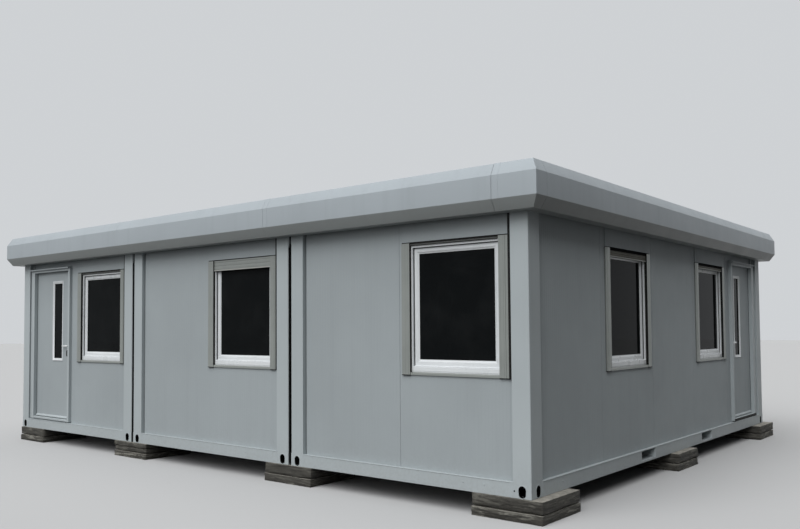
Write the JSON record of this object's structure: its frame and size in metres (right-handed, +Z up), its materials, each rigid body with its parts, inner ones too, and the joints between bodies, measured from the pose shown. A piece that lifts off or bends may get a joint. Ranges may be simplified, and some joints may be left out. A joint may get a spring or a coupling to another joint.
{
  "type": "portable site cabin",
  "caption": "Portable site cabin of joined steel-framed modules with a folded roof fascia, shuttered windows and two hinged doors, standing on stacks of concrete slabs.",
  "frame": {"origin": "on the ground under the middle of the cabin's bounding box", "axes": "+X along the front of the three module ends to the right, +Y from the front to the back, +Z up; the front with the first door faces -Y and the long side with the second door faces +X"},
  "size_m": [8.226, 6.802, 2.774],
  "materials": {
    "frame_paint": "semi-gloss light grey coating over steel rails, castings, posts and roof frames",
    "panel_paint": "matt light grey coil coating, finely ribbed upright",
    "fascia_paint": "semi-gloss light grey folded sheet",
    "roof_sheet": "weathered light grey sheet",
    "floor": "speckled grey vinyl",
    "ceiling": "matt white lining",
    "seal": "matt black rubber",
    "window_frame": "satin white window plastic",
    "glass": "dark double glazing",
    "shutter": "satin grey coated aluminium",
    "door_hardware": "brushed steel",
    "concrete": "rough weathered concrete, grey-brown"
  },
  "bodies": {
    "cabin": {"base_frame_a": "frame_paint", "base_frame_b": "frame_paint", "base_frame_c": "frame_paint", "floor_decks": "floor", "front_posts": "frame_paint", "back_posts": "frame_paint", "roof_corner_blocks": "frame_paint", "roof_end_rails": "frame_paint", "roof_side_rails": "frame_paint", "roof_decks": "roof_sheet", "ceilings": "ceiling", "module_seals": "seal", "front_wall_a": "panel_paint", "front_wall_over_door": "panel_paint", "front_wall_b": "panel_paint", "front_wall_c": "panel_paint", "right_wall": "panel_paint", "right_wall_over_door": "panel_paint", "back_walls": "panel_paint", "left_wall": "panel_paint", "fascia_front": "fascia_paint", "fascia_right": "fascia_paint", "fascia_back": "fascia_paint", "fascia_left": "fascia_paint", "fascia_corners": "fascia_paint", "window_frames": "window_frame", "window_glass": "glass", "shutter_guides": "shutter", "shutter_boxes": "panel_paint", "shutter_slats": "shutter", "front_door_frame": "frame_paint", "front_door_hinges": "door_hardware", "side_door_frame": "frame_paint", "side_door_hinges": "door_hardware", "front_blocks": "concrete", "middle_blocks": "concrete", "back_blocks": "concrete"},
    "front_door": {"front_door_leaf": "panel_paint", "front_door_slot_frame": "window_frame", "front_door_glass": "glass", "front_door_handle": "door_hardware"},
    "side_door": {"side_door_leaf": "panel_paint", "side_door_slot_frame": "window_frame", "side_door_glass": "glass", "side_door_handle": "door_hardware"}
  },
  "joints": [
    {"name": "front_door_hinge", "type": "hinge", "parent": "cabin", "child": "front_door", "pos_m": [-3.672, -3.122, 0.34], "axis": [0, 0, 1], "range_deg": [0, 90]},
    {"name": "side_door_hinge", "type": "hinge", "parent": "cabin", "child": "side_door", "pos_m": [3.834, 2.88, 0.34], "axis": [0, 0, -1], "range_deg": [0, 90]}
  ]
}
